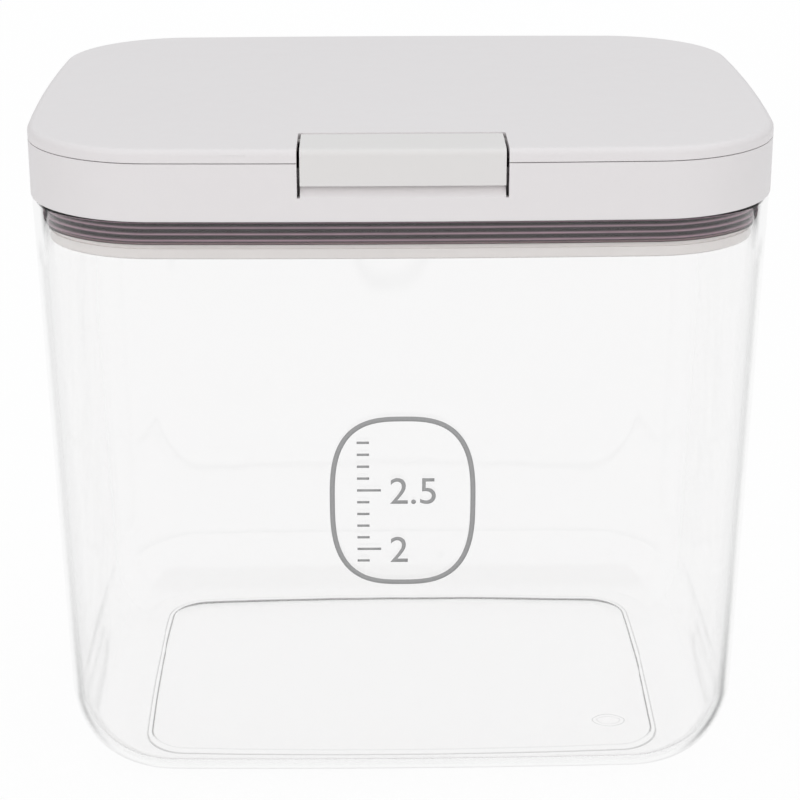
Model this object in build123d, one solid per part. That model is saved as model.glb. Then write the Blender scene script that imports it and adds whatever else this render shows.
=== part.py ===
from build123d import *
from math import atan2, cos, hypot, radians, sin, tan
import os

# Airtight dry-food tub with a lever lid. Millimetres, +Z up, the latch faces -Y.
# Origin: middle of the base, on the surface that the tub stands on.

# Plan outline of the lid, four bowed sides joined by round corners
lid_width = 208.0
lid_depth = 157.0
corner_radius = 36.3
end_bow_radius = 820.0
face_bow_radius = 2340.0

# Tub
tub_height = 173.0
tub_wall = 2.4
tub_floor = 2.85
tub_top_inset = 0.29
tub_draft = 1.5
tub_heel_radius = 17.0
rim_round = 0.6
foot_ring_end = 3.0
foot_ring_face = 1.1
panel_corner = 17.0
panel_bow_radius = 1000.0
panel_rise = 1.4
panel_bevel = 2.4
gate_mark_side = 13.4
gate_mark_front = 17.3
gate_mark_radius = 4.9
gate_mark_height = 0.3

# Lid shells
lid_seat_gap = 0.15
skirt_height = 15.75
skirt_edge_round = 0.4
seam_gap = 0.25
cover_side_height = 3.6
shell_wall = 2.2
deck_thickness = 2.2
top_edge_round = 1.8
spigot_depth = 3.2
spigot_wall = 1.4
spigot_clearance = 0.2
cover_rib_thickness = 1.2
cover_rib_height = 2.0
cover_rib_x = 40.0

# Latch lever and its hinge
latch_width = 54.2
latch_length = 19.6
latch_corner = 2.0
window_corner = 1.0
latch_drop = 9.8
latch_side_gap = 0.8
latch_wall = 2.2
barrel_radius = 2.0
barrel_gap = 0.3
lip_reach = 1.75
pin_radius = 0.8
pin_clearance = 0.05
pin_grip = 0.01
ear_thickness = 3.0
ear_gap = 0.4
latch_open_angle = 70.0
crank_length = 8.0
crank_bar_radius = 1.5
crank_arm_x = 14.0
crank_arm_thickness = 3.0
crank_side_clearance = 0.5
finger_gap = 3.3
finger_reach = 3.0
bay_wall = 1.6
bay_gap = 0.8

# Gasket, squeezed between the shoulder under the deck and the plate's edge
shoulder_drop = 1.05
shoulder_width = 9.0
gasket_height = 5.7
gasket_width = 5.4
gasket_wall_gap = 0.3
gasket_end_gap = 0.1
gasket_ridges = 3
gasket_foot = 0.5
foot_depth = 0.35
ridge_depth = 0.9

# Pressure plate
plate_edge_height = 4.25
plate_edge_wall = 2.6
plate_edge_step = 0.5
plate_step_height = 1.3
plate_floor = 2.0
plate_wall_gap = 1.1
plate_edge_round = 0.7
plate_drop = 2.5
neck_wall = 1.8
neck_clearance = 0.3
neck_top_gap = 0.6
post_side = 42.0
post_end = 40.5
post_radius = 4.0
guide_clearance = 0.08
guide_wall = 1.6
guide_length = 4.5
plate_rib_thickness = 1.6
plate_rib_height = 4.0

# Drive slider, whose ramps lift the four caps on the posts
slider_gap = 0.2
slider_thickness = 2.4
slider_rail_width = 16.0
slider_bar_width = 10.0
slider_end_margin = 1.6
slot_side_clearance = 0.5
slot_end_clearance = 1.0
ramp_foot = 0.3
ramp_run_out = 0.8
ramp_gap = 0.1
cap_length = 8.0
cap_thickness = 2.0
fork_width = 23.0
fork_wall = 1.6
fork_clearance = 0.25
fork_height = 6.95
guide_rib_thickness = 1.5
guide_rib_height = 4.0
guide_rib_length = 60.0
guide_rib_gap = 0.3
hold_down_length = 24.0
hold_down_gap = 0.3

# Screws and springs
screw_radius = 1.25
screw_head_radius = 2.8
screw_head_height = 1.8
screw_socket = 1.9
screw_fit = 0.02
cap_screw_length = 9.0
cover_screw_length = 9.0
cover_screw_side = 20.0
cover_screw_end = 32.5
boss_radius = 3.6
spring_wire_radius = 0.5
spring_guide_gap = 0.7
spring_end_gap = 0.1

# Levels that follow from the sizes above
lid_bottom = tub_height + lid_seat_gap
skirt_top = lid_bottom + skirt_height
cover_bottom = skirt_top + seam_gap
lid_top = cover_bottom + cover_side_height
cover_under = lid_top - shell_wall
deck_top = lid_bottom + deck_thickness
shoulder_bottom = lid_bottom - shoulder_drop
gasket_top = shoulder_bottom - gasket_end_gap
gasket_bottom = gasket_top - gasket_height
plate_edge_top = gasket_bottom - gasket_end_gap
plate_bottom = plate_edge_top - plate_edge_height
plate_floor_top = plate_bottom + plate_floor

# Raised middle of the floor, inside the flat ring that the tub stands on
draft_slope = tan(radians(tub_draft))
foot_inset = tub_top_inset + tub_height * draft_slope + tub_heel_radius
foot_half_width = lid_width / 2 - foot_inset - foot_ring_end
foot_half_depth = lid_depth / 2 - foot_inset - foot_ring_face

# Insets from the lid's outline, at the height of the gasket
gasket_middle = (gasket_top + gasket_bottom) / 2
bore_inset = tub_top_inset + (tub_height - gasket_middle) * draft_slope + tub_wall
gasket_outer = bore_inset + gasket_wall_gap
gasket_inner = gasket_outer + gasket_width
neck_outer = gasket_inner + neck_clearance
plate_outer = bore_inset + plate_wall_gap

# Places in plan, measured in from the lid's sides
latch_back_y = latch_length - lid_depth / 2
post_x = lid_width / 2 - post_side
post_y = lid_depth / 2 - post_end
cover_screw_x = lid_width / 2 - cover_screw_side
cover_screw_y = lid_depth / 2 - cover_screw_end

# Lever geometry: the crank swings through the same angle to each side of straight down
half_swing = radians(latch_open_angle / 2)
hinge_y = latch_back_y - barrel_radius
hinge_z = lid_top - barrel_radius
crank_y = hinge_y + crank_length * sin(half_swing)
crank_z = hinge_z - crank_length * cos(half_swing)
slider_travel = 2 * crank_length * sin(half_swing)
ramp_slope = plate_drop / slider_travel
fork_half_gap = crank_bar_radius + fork_clearance
slider_front = crank_y - fork_half_gap - fork_wall
bay_y = slider_front - slider_travel - bay_gap - bay_wall

# Slider and cap levels
slider_bottom = deck_top + slider_gap
slider_top = slider_bottom + slider_thickness
ramp_reach = slider_travel + cap_length / 2 + ramp_run_out
ramp_mid = slider_top + ramp_foot + ramp_slope * ramp_reach
cap_mid = ramp_mid + ramp_gap
cap_top = cap_mid + ramp_slope * cap_length / 2 + cap_thickness
post_top = cap_mid - ramp_slope * cap_length / 2 - 0.5
slot_width = 2 * (post_radius + slot_side_clearance)
spring_inner = post_radius + guide_clearance + guide_wall + spring_guide_gap
post_places = {
    "front_left": (-post_x, -post_y),
    "front_right": (post_x, -post_y),
    "back_left": (-post_x, post_y),
    "back_right": (post_x, post_y),
}


# Four bowed sides joined by round corners, as a closed wire at height z
def bowed(hw, hd, face_r, end_r, r, z):
    face_y, end_x = hd - face_r, hw - end_r
    # The corner's centre lies at face_r - r from one bow's centre and end_r - r from the other's
    a, b = face_r - r, end_r - r
    span = hypot(end_x, face_y)
    along = (a * a - b * b + span * span) / (2 * span)
    off = (a * a - along * along) ** 0.5
    ux, uy = end_x / span, -face_y / span
    cx = along * ux - off * uy
    cy = face_y + along * uy + off * ux
    if cx < 0 or cy < 0:
        cx = along * ux + off * uy
        cy = face_y + along * uy - off * ux
    t1 = (cx * face_r / a, face_y + (cy - face_y) * face_r / a)
    t2 = (end_x + (cx - end_x) * end_r / b, cy * end_r / b)
    mid = (atan2(t1[1] - cy, t1[0] - cx) + atan2(t2[1] - cy, t2[0] - cx)) / 2
    m = (cx + r * cos(mid), cy + r * sin(mid))
    edges = []
    for sx, sy in ((1, 1), (1, -1), (-1, -1), (-1, 1)):
        corner = [(sx * x, sy * y, z) for x, y in (t1, m, t2)]
        edges.append(ThreePointArc(*corner))
    for s in (1, -1):
        edges.append(ThreePointArc((-t1[0], s * t1[1], z), (0, s * hd, z), (t1[0], s * t1[1], z)))
        edges.append(ThreePointArc((s * t2[0], -t2[1], z), (s * hw, 0, z), (s * t2[0], t2[1], z)))
    return Wire(edges)


# The lid's outline moved inwards by an inset
def outline(inset, z):
    sizes = [size - inset for size in (lid_width / 2, lid_depth / 2, face_bow_radius, end_bow_radius, corner_radius)]
    return bowed(*sizes, z)


# Outline of the floor's raised middle, a distance in from its foot
def panel_outline(inset, z):
    bow, corner = panel_bow_radius + panel_bevel, panel_corner + panel_bevel
    return bowed(foot_half_width - inset, foot_half_depth - inset, bow - inset, bow - inset, corner - inset, z)


# Upright solid on the outline
def slab(inset, low, high):
    return extrude(Face(outline(inset, low)), high - low, dir=(0, 0, 1))


# Tapered solid between two insets
def tapered(low_inset, low, high_inset, high):
    return Solid.make_loft([outline(low_inset, low), outline(high_inset, high)], True)


def ring(outer, inner, low, high):
    return slab(outer, low, high) - slab(inner, low, high)


# Solid of a box between two corners
def block(x0, x1, y0, y1, z0, z1):
    return Pos((x0 + x1) / 2, (y0 + y1) / 2, (z0 + z1) / 2) * Box(x1 - x0, y1 - y0, z1 - z0)


# Upright round bar between two heights
def rod(x, y, radius, z0, z1):
    return Pos(x, y, (z0 + z1) / 2) * Cylinder(radius, z1 - z0)


# Profile of (y, z) points extruded along X
def bar_of(points, x0, x1):
    face = make_face(Polyline([(x0, y, z) for y, z in points], close=True))
    return extrude(face, x1 - x0, dir=(1, 0, 0))


def inset_at(z):
    return tub_top_inset + (tub_height - z) * draft_slope


# Tub

def make_tub():
    body = tapered(inset_at(0), 0, inset_at(tub_height), tub_height)
    body = fillet(body.edges().group_by(Axis.Z)[0], tub_heel_radius)
    hollow = tapered(inset_at(tub_floor) + tub_wall, tub_floor, inset_at(tub_height) + tub_wall, tub_height)
    hollow = fillet(hollow.edges().group_by(Axis.Z)[0], tub_heel_radius - tub_wall)
    # The floor's underside is raised inside the ring, with a flat top left over it
    step = Solid.make_loft([panel_outline(0, 0), panel_outline(panel_bevel, panel_rise)], True)
    mark_x = foot_half_width - panel_bevel - gate_mark_side
    mark_y = gate_mark_front + panel_bevel - foot_half_depth
    mark = rod(mark_x, mark_y, gate_mark_radius, panel_rise - gate_mark_height, panel_rise)
    tub = body - hollow - step + mark
    rim = tub.edges().group_by(Axis.Z)[-1]
    return fillet(rim, rim_round)


# Lid shells

# Plan of the latch, grown by a side gap, back to y1, between two heights
def latch_window(side, y1, corner, low, high):
    half = latch_width / 2 + side
    y0 = -lid_depth / 2 - 5
    prism = block(-half, half, y0, y1, low, high)
    back_edges = prism.edges().filter_by(Axis.Z).group_by(Axis.Y)[-1]
    return fillet(back_edges, corner)


# Lid outline with the soft top edge that cover and latch share
def lid_blank(low):
    body = slab(0, low, lid_top)
    return fillet(body.edges().group_by(Axis.Z)[-1], top_edge_round)


def make_lid_base():
    half = latch_width / 2 + latch_side_gap
    face_y, edge_z = -lid_depth / 2, lid_top - latch_drop
    foot_z = edge_z - finger_gap
    base = slab(0, lid_bottom, skirt_top)
    base = fillet(base.edges().group_by(Axis.Z)[0], skirt_edge_round) - slab(shell_wall, deck_top, skirt_top)
    # Shoulder that the gasket meets
    shoulder_outer = bore_inset + 0.35
    base += ring(shoulder_outer, shoulder_outer + shoulder_width, shoulder_bottom, lid_bottom)
    # Finger bay under the latch: a sloping tongue between two slots, a back wall and two cheeks
    base -= block(-half, half, -lid_depth, bay_y, foot_z, skirt_top + 1)
    tongue = [
        (face_y - finger_reach, foot_z - finger_gap),
        (face_y + finger_reach, edge_z + 0.25),
        (bay_y, edge_z + 0.6),
        (bay_y, deck_top - 1),
        (face_y - finger_reach, deck_top - 1),
    ]
    hollow = [
        (face_y + shell_wall, deck_top - 2),
        (face_y + shell_wall, foot_z + 0.3),
        (face_y + finger_reach + 0.2, edge_z + 0.25 - bay_wall),
        (bay_y, edge_z + 0.6 - bay_wall),
        (bay_y, deck_top - 2),
    ]
    # The bay's walls stop under the cover's spigot
    wall_top = cover_bottom - spigot_depth - spigot_clearance
    bay = bar_of(tongue, -latch_width / 2, latch_width / 2) - bar_of(hollow, -half, half)
    bay += block(-half - bay_wall, half + bay_wall, bay_y, bay_y + bay_wall, deck_top - 1, wall_top)
    for s in (-1, 1):
        x0, x1 = sorted((s * half, s * (half + bay_wall)))
        bay += block(x0, x1, -lid_depth / 2 - 1, bay_y + bay_wall, deck_top - 1, wall_top)
    base += bay & slab(0.0, lid_bottom, skirt_top)
    # Guide ribs for the slider, open ended
    for s in (-1, 1):
        rib_x = post_x + slider_rail_width / 2 + guide_rib_gap
        x0, x1 = sorted((s * rib_x, s * (rib_x + guide_rib_thickness)))
        base += block(x0, x1, -guide_rib_length / 2, guide_rib_length / 2, deck_top, slider_bottom + guide_rib_height)
    # Guide tubes for the four posts and holes for the cover screws
    for x, y in post_places.values():
        base += rod(x, y, post_radius + guide_clearance + guide_wall, lid_bottom - guide_length, deck_top)
        base -= rod(x, y, post_radius + guide_clearance, lid_bottom - guide_length, deck_top)
    for sx in (-1, 1):
        for sy in (-1, 1):
            base -= rod(sx * cover_screw_x, sy * cover_screw_y, screw_radius + 0.3, lid_bottom, deck_top)
    return base


def make_lid_cover():
    cover = lid_blank(cover_bottom) - slab(shell_wall, cover_bottom, cover_under)
    spigot_outer = shell_wall + spigot_clearance
    cover += ring(spigot_outer, spigot_outer + spigot_wall, cover_bottom - spigot_depth, cover_under)
    # Stiffening ribs under the top
    end = lid_depth / 2 - spigot_outer - spigot_wall / 2
    for s in (-1, 1):
        x = s * cover_rib_x
        cover += block(x - cover_rib_thickness / 2, x + cover_rib_thickness / 2, -end, end, cover_under - cover_rib_height, cover_under)
    side = lid_width / 2 - spigot_outer - spigot_wall / 2
    cover += block(-side, side, -cover_rib_thickness / 2, cover_rib_thickness / 2, cover_under - cover_rib_height, cover_under)
    # Ribs that keep the slider down on the deck
    for s in (-1, 1):
        x = s * post_x
        cover += block(x - cover_rib_thickness / 2, x + cover_rib_thickness / 2, -hold_down_length / 2, hold_down_length / 2, slider_top + hold_down_gap, cover_under)
    # Screw bosses standing on the deck
    for sx in (-1, 1):
        for sy in (-1, 1):
            x, y = sx * cover_screw_x, sy * cover_screw_y
            cover += rod(x, y, boss_radius, deck_top, cover_under)
            cover -= rod(x, y, screw_radius + screw_fit, deck_top, deck_top + cover_screw_length)
    # Latch window, then the two ears that hold the hinge pin beside it
    cover -= latch_window(latch_side_gap, hinge_y + lip_reach, window_corner, cover_bottom - spigot_depth - 1, lid_top + 1)
    # The window's back lip reaches over the lever's barrel
    reach = latch_width / 2 + latch_side_gap / 2
    cover -= Pos(0, hinge_y, hinge_z) * Rot(0, 90, 0) * Cylinder(barrel_radius + barrel_gap, 2 * reach)
    for s in (-1, 1):
        inner = latch_width / 2 + latch_side_gap + ear_gap
        x0, x1 = sorted((s * inner, s * (inner + ear_thickness)))
        ear = block(x0, x1, hinge_y - barrel_radius, hinge_y + barrel_radius, hinge_z, cover_under + 0.5)
        ear += Pos((x0 + x1) / 2, hinge_y, hinge_z) * Rot(0, 90, 0) * Cylinder(barrel_radius, ear_thickness)
        ear -= block(x0 - 1, x1 + 1, hinge_y - 9, hinge_y + 9, cover_under + 0.5, lid_top + 1)
        cover += ear
    # One drill line through both ears, which grips the pin
    drill_length = 2 * (latch_width / 2 + latch_side_gap + ear_gap + ear_thickness)
    return cover - Pos(0, hinge_y, hinge_z) * Rot(0, 90, 0) * Cylinder(pin_radius + pin_grip, drill_length)


def make_latch_pin():
    half = latch_width / 2 + latch_side_gap + ear_gap + ear_thickness
    pin = Pos(0, hinge_y, hinge_z) * Rot(0, 90, 0) * Cylinder(pin_radius, 2 * half)
    return chamfer(pin.edges().filter_by(GeomType.CIRCLE), pin_radius / 4)


# Latch

def make_latch():
    low = lid_top - latch_drop
    skin = lid_blank(low) - slab(latch_wall, low, cover_under)
    front = skin - block(-lid_width, lid_width, hinge_y, lid_depth, low - 1, lid_top + 1)
    barrel = Pos(0, hinge_y, hinge_z) * Rot(0, 90, 0) * Cylinder(barrel_radius, latch_width)
    # Cheeks close the ends of the lever between the lip and the barrel
    cheek = block(-latch_width / 2, latch_width / 2, -lid_depth / 2 + latch_wall / 2, hinge_y, hinge_z - barrel_radius, cover_under + 0.5)
    cheek -= block(-latch_width / 2 + latch_wall, latch_width / 2 - latch_wall, -lid_depth, hinge_y + 1, low, lid_top)
    lever = (front + barrel + cheek) & latch_window(0, latch_back_y, latch_corner, low - 1, lid_top + 1)
    for s in (-1, 1):
        lever += crank_arm(s * crank_arm_x)
    bar = Pos(0, crank_y, crank_z) * Rot(0, 90, 0) * Cylinder(crank_bar_radius, 2 * crank_arm_x)
    lever += bar
    bore = Pos(0, hinge_y, hinge_z) * Rot(0, 90, 0) * Cylinder(pin_radius + pin_clearance, latch_width + 1)
    return lever - bore


# Arm from the barrel to the crank bar, with round ends
def crank_arm(x):
    dy, dz = crank_y - hinge_y, crank_z - hinge_z
    ny, nz = -dz / crank_length * crank_bar_radius, dy / crank_length * crank_bar_radius
    points = [(hinge_y + ny, hinge_z + nz), (crank_y + ny, crank_z + nz), (crank_y - ny, crank_z - nz), (hinge_y - ny, hinge_z - nz)]
    arm = bar_of(points, x - crank_arm_thickness / 2, x + crank_arm_thickness / 2)
    return arm + Pos(x, crank_y, crank_z) * Rot(0, 90, 0) * Cylinder(crank_bar_radius, crank_arm_thickness)


# Drive slider

def make_slider():
    half_x = post_x + slider_rail_width / 2
    back = post_y + ramp_reach + slider_end_margin
    slider = block(-half_x, half_x, slider_front, back, slider_bottom, slider_top)
    inner_x = post_x - slider_rail_width / 2
    slider -= block(-inner_x, inner_x, slider_front + slider_bar_width, back - slider_bar_width, slider_bottom, slider_top)
    ramp_width = (slider_rail_width - slot_width) / 2
    for x, y in post_places.values():
        low_end, high_end = y + ramp_reach, y - cap_length / 2 - ramp_run_out
        profile = [
            (high_end, slider_top - 1),
            (low_end, slider_top - 1),
            (low_end, ramp_mid - ramp_slope * (low_end - y)),
            (high_end, ramp_mid - ramp_slope * (high_end - y)),
        ]
        for s in (-1, 1):
            middle = x + s * (slot_width + ramp_width) / 2
            slider += bar_of(profile, middle - ramp_width / 2, middle + ramp_width / 2)
        # The slot lets the slider pass the post
        reach = post_radius + slot_end_clearance
        slot = block(x - slot_width / 2, x + slot_width / 2, y - reach, y + slider_travel + reach, slider_bottom, ramp_mid + 9)
        slider -= slot
    # Fork that takes the crank bar
    for s in (-1, 1):
        y0, y1 = sorted((crank_y + s * fork_half_gap, crank_y + s * (fork_half_gap + fork_wall)))
        slider += block(-fork_width / 2, fork_width / 2, y0, y1, slider_top - 1, slider_top + fork_height)
    return slider


# Pressure plate

def make_plate():
    plate = slab(plate_outer, plate_bottom, plate_edge_top - plate_step_height)
    plate += slab(plate_outer + plate_edge_step, plate_bottom, plate_edge_top)
    plate = fillet(plate.edges().group_by(Axis.Z)[0], plate_edge_round)
    neck_top = shoulder_bottom - neck_top_gap
    groove = ring(plate_outer + plate_edge_step + plate_edge_wall, neck_outer, plate_floor_top, plate_edge_top)
    plate -= groove
    plate -= slab(neck_outer + neck_wall, plate_floor_top, plate_edge_top)
    plate += ring(neck_outer, neck_outer + neck_wall, plate_floor_top, neck_top)
    # Ribs from post to post, clear of the springs
    spring_outer = spring_inner + 2 * spring_wire_radius
    top = plate_floor_top + plate_rib_height
    t = plate_rib_thickness / 2
    for s in (-1, 1):
        plate += block(-post_x, post_x, s * post_y - t, s * post_y + t, plate_floor_top, top)
        plate += block(s * post_x - t, s * post_x + t, -post_y, post_y, plate_floor_top, top)
    for x, y in post_places.values():
        plate -= rod(x, y, spring_outer + 0.8, plate_floor_top, top)
        plate += rod(x, y, post_radius, plate_floor_top, post_top)
        plate -= rod(x, y, screw_radius + screw_fit, post_top - cap_screw_length, post_top)
    return plate


# Cap on a post: wedge underneath, same slope as the ramps
def make_cap(x, y):
    half = cap_length / 2
    profile = [
        (y - half, cap_mid + ramp_slope * half),
        (y + half, cap_mid - ramp_slope * half),
        (y + half, cap_top),
        (y - half, cap_top),
    ]
    cap = bar_of(profile, x - slider_rail_width / 2, x + slider_rail_width / 2)
    cap += rod(x, y, post_radius, post_top, cap_top)
    return cap - rod(x, y, screw_radius + screw_fit, post_top, cap_top)


# Pan-head screw with a hexagon socket, its head's seat at the origin and its shank down
def screw(length):
    head = Pos(0, 0, screw_head_height / 2) * Cylinder(screw_head_radius, screw_head_height)
    head = chamfer(head.edges().group_by(Axis.Z)[-1], screw_head_height / 3)
    socket = Pos(0, 0, screw_head_height / 2) * extrude(RegularPolygon(screw_socket, 6), screw_head_height)
    return head + Pos(0, 0, -length / 2) * Cylinder(screw_radius, length) - socket


# Gasket: one ring swept round the outline, with ridges towards the wall

def make_gasket():
    pitch = (gasket_height - gasket_foot) / gasket_ridges
    outer_y = -lid_depth / 2 + gasket_outer
    points = [
        (outer_y + gasket_width, gasket_bottom),
        (outer_y + foot_depth, gasket_bottom),
        (outer_y + foot_depth, gasket_bottom + gasket_foot / 2),
    ]
    for k in range(gasket_ridges):
        z = gasket_bottom + gasket_foot + k * pitch
        points += [(outer_y + ridge_depth, z), (outer_y, z + 0.28 * pitch), (outer_y, z + 0.7 * pitch)]
    points += [(outer_y + ridge_depth, gasket_top), (outer_y + gasket_width, gasket_top)]
    section = make_face(Polyline([(0, y, z) for y, z in points], close=True))
    return sweep(section, path=start_at_front(outline(gasket_outer, gasket_bottom)))


# The same closed wire, begun in the middle of the front side
def start_at_front(wire):
    edges = wire.edges().sort_by(Axis.Y)
    front, rest = edges[0], edges[1:]
    return Wire([front.trim(0.5, 1.0), *rest, front.trim(0.0, 0.5)])


# Return spring round a guide tube: hidden between deck and plate, so a plain sleeve of the coil's size
def make_spring(x, y):
    low, high = plate_floor_top + spring_end_gap, lid_bottom - spring_end_gap
    coil = rod(x, y, spring_inner + 2 * spring_wire_radius, low, high)
    return coil - rod(x, y, spring_inner, low, high)


parts = {
    "container_tub": make_tub(),
    "lid_base": make_lid_base(),
    "lid_cover": make_lid_cover(),
    "latch_pin": make_latch_pin(),
    "latch_lever": make_latch(),
    "drive_slider": make_slider(),
    "pressure_plate": make_plate(),
    "seal_gasket": make_gasket(),
}
for place, (x, y) in post_places.items():
    parts["lift_cap_" + place] = make_cap(x, y)
    parts["return_spring_" + place] = make_spring(x, y)
parts["cap_screws"] = Compound([Pos(x, y, cap_top) * screw(cap_screw_length) for x, y in post_places.values()])
cover_screw_places = [(sx * cover_screw_x, sy * cover_screw_y) for sx in (-1, 1) for sy in (-1, 1)]
parts["cover_screws"] = Compound(
    [Pos(x, y, lid_bottom) * Rot(180, 0, 0) * screw(cover_screw_length) for x, y in cover_screw_places]
)

print("slider travel", round(slider_travel, 4), "hinge", round(hinge_y, 3), round(hinge_z, 3))
print("levels: lid bottom", lid_bottom, "plate bottom", round(plate_bottom, 3), "lid top", lid_top)
litres = (tapered(inset_at(0) + tub_wall, tub_floor, inset_at(tub_height) + tub_wall, plate_bottom)).volume / 1e6
print("room under the plate, litres", round(litres, 2))

os.makedirs("parts", exist_ok=True)
for name, shape in parts.items():
    export_step(shape, "parts/" + name + ".step")
    print(name, len(shape.solids()), round(shape.volume))
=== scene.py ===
import math

import bpy
import bmesh
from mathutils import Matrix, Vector
from mathutils.geometry import tessellate_polygon


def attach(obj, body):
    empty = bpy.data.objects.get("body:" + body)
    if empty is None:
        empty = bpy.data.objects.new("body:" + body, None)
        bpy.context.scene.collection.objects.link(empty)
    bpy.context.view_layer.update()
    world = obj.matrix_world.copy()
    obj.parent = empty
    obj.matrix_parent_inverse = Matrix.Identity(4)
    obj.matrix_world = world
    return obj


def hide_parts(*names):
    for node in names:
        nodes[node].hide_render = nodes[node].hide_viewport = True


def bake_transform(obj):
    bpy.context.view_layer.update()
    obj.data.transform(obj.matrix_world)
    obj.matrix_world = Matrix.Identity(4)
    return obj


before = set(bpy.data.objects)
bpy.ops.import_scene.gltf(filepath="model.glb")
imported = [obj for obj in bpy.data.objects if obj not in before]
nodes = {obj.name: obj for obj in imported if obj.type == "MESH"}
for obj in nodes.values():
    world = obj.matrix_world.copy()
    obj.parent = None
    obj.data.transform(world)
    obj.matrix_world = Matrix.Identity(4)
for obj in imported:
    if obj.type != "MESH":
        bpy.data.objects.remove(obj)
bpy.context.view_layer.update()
scene = bpy.context.scene
fullTurn = 2 * math.pi
print("frame loaded:", len(nodes), "nodes")


# One socket with its tree: arithmetic adds Math nodes, node() adds any other node

class Wire:
    def __init__(self, tree, socket=None):
        self.tree = tree
        self.socket = socket

    def node(self, kind, settings=None, inputs=None, output=0):
        made = self.tree.nodes.new(kind)
        for key, value in (settings or {}).items():
            setattr(made, key, value)
        for key, value in (inputs or {}).items():
            if isinstance(value, Wire):
                self.tree.links.new(value.socket, made.inputs[key])
            else:
                made.inputs[key].default_value = value
        return Wire(self.tree, made.outputs[output]) if len(made.outputs) else made

    def pick(self, name):
        return Wire(self.tree, self.socket.node.outputs[name])

    def calc(self, operation, *values):
        return self.node("ShaderNodeMath", {"operation": operation}, dict(enumerate(values)))

    def __add__(self, other):
        return self.calc("ADD", self, other)

    def __radd__(self, other):
        return self.calc("ADD", other, self)

    def __sub__(self, other):
        return self.calc("SUBTRACT", self, other)

    def __rsub__(self, other):
        return self.calc("SUBTRACT", other, self)

    def __mul__(self, other):
        return self.calc("MULTIPLY", self, other)

    def __rmul__(self, other):
        return self.calc("MULTIPLY", other, self)

    def __truediv__(self, other):
        return self.calc("DIVIDE", self, other)

    def __rtruediv__(self, other):
        return self.calc("DIVIDE", other, self)

    def __pow__(self, other):
        return self.calc("POWER", self, other)

    def __neg__(self):
        return self.calc("MULTIPLY", self, -1.0)


# Finishes

# Starts a material and gives back its first wire, which carries Object coordinates
def startFinish(name):
    material = bpy.data.materials.new(name)
    material.use_nodes = True
    material.node_tree.nodes.clear()
    place = Wire(material.node_tree).node("ShaderNodeTexCoord", output="Object")
    return material, place


def endFinish(material, shader):
    shader.node("ShaderNodeOutputMaterial", inputs={"Surface": shader})
    return material


def mixColour(factor, a, b):
    return factor.node("ShaderNodeMix", {"data_type": "RGBA"}, {0: factor, 6: a, 7: b}, output=2)


def noiseOf(place, scale, detail):
    return place.node("ShaderNodeTexNoise", inputs={"Vector": place, "Scale": scale, "Detail": detail})


def bumpOf(height, strength, depth):
    return height.node("ShaderNodeBump", inputs={"Strength": strength, "Distance": depth, "Height": height})


def largest(first, *others):
    for other in others:
        first = first.calc("MAXIMUM", first, other)
    return first


# 0 up to the start, 1 from the end on, smooth between them
def between(wire, start, end):
    reach = {0: wire, 1: start, 2: end, 3: 0.0, 4: 1.0}
    return wire.node("ShaderNodeMapRange", {"interpolation_type": "SMOOTHSTEP"}, reach)


# 1 up to the start, 0 from the end on, smooth between them
def fading(wire, start, end):
    return between(-wire, -end, -start)


# 1 at a value, 0 from a distance on to either side of it
def near(wire, value, distance):
    away = wire - value
    return 1.0 - between(away.calc("ABSOLUTE", away), 0.0, distance)


# Moulded plastic: spark-eroded grain, faint flow marks, colour that drifts a little
# A noise is given by its scale and its detail
moulding = {
    "drift": (14.0, 3.0),
    "driftShare": 0.65,
    "driftGloss": 0.06,
    "cloud": (210.0, 2.0),
    "cloudShare": 0.35,
    "cloudGloss": 0.08,
    "grainDetail": 1.0,
    "grainStrength": 0.35,
    "grainDepth": 0.00001,
    "ior": 1.5,
    "specular": 0.42,
}


def mouldedPlastic(name, look):
    material, place = startFinish(name)
    drift = noiseOf(place, *moulding["drift"])
    cloud = noiseOf(place, *moulding["cloud"])
    grain = noiseOf(place, look["grain"], moulding["grainDetail"])
    share = drift * moulding["driftShare"] + cloud * moulding["cloudShare"]
    gloss = (cloud - 0.5) * moulding["cloudGloss"] + (drift - 0.5) * moulding["driftGloss"]
    shader = place.node("ShaderNodeBsdfPrincipled", inputs={
        "Base Color": mixColour(share, look["colour"], look["shade"]),
        "Roughness": look["roughness"] + gloss,
        "Normal": bumpOf(grain, moulding["grainStrength"], moulding["grainDepth"]),
        "IOR": moulding["ior"],
        "Specular IOR Level": moulding["specular"],
    })
    return endFinish(material, shader)


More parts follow.
